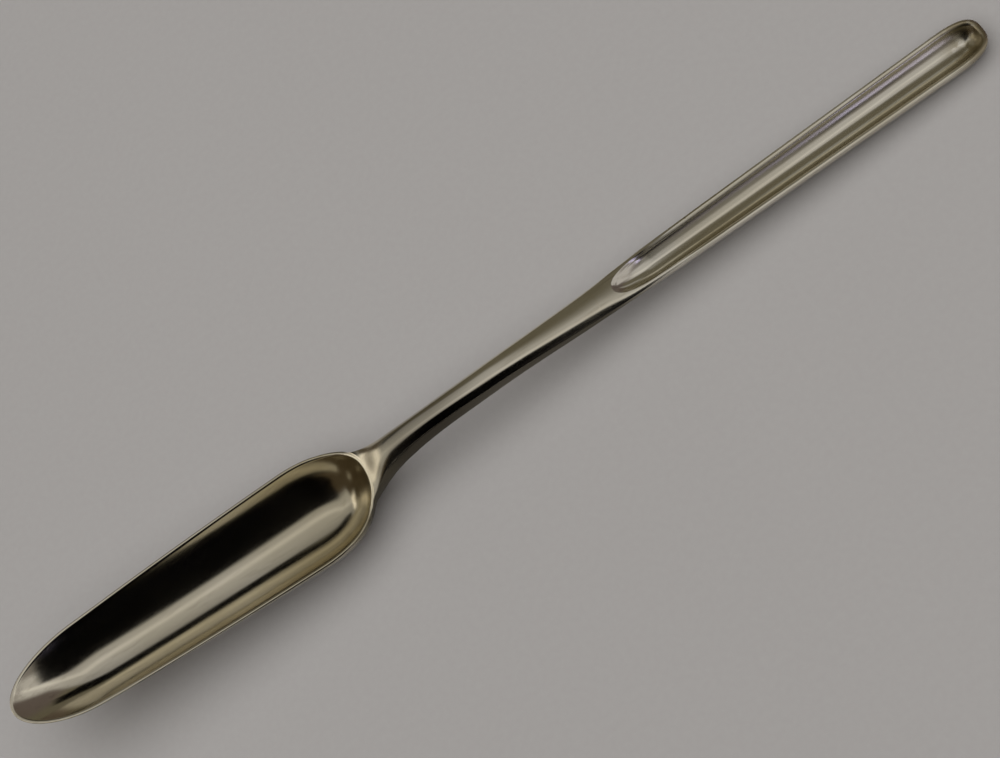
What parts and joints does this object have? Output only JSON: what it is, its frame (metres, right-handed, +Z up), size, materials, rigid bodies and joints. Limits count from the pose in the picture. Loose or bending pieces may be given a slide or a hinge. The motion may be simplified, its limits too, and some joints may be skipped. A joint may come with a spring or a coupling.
{
  "type": "marrow scoop",
  "caption": "Silver table scoop with a long deep bowl, a slender shank and a narrow open channel, for drawing marrow out of roasted bones.",
  "frame": {"origin": "on the table, midway between the two ends, in the middle plane", "axes": "+X from the large bowl's tip to the narrow scoop's end, +Z up out of the hollows, +Y to the left of +X"},
  "size_m": [0.2278, 0.023, 0.0179],
  "materials": {
    "silver": "polished, lightly worn",
    "solder": "polished flush"
  },
  "bodies": {
    "root": {"large_scoop": "silver", "shank": "silver", "narrow_scoop": "silver", "heel_solder": "solder", "scarf_solder": "solder"}
  },
  "joints": []
}
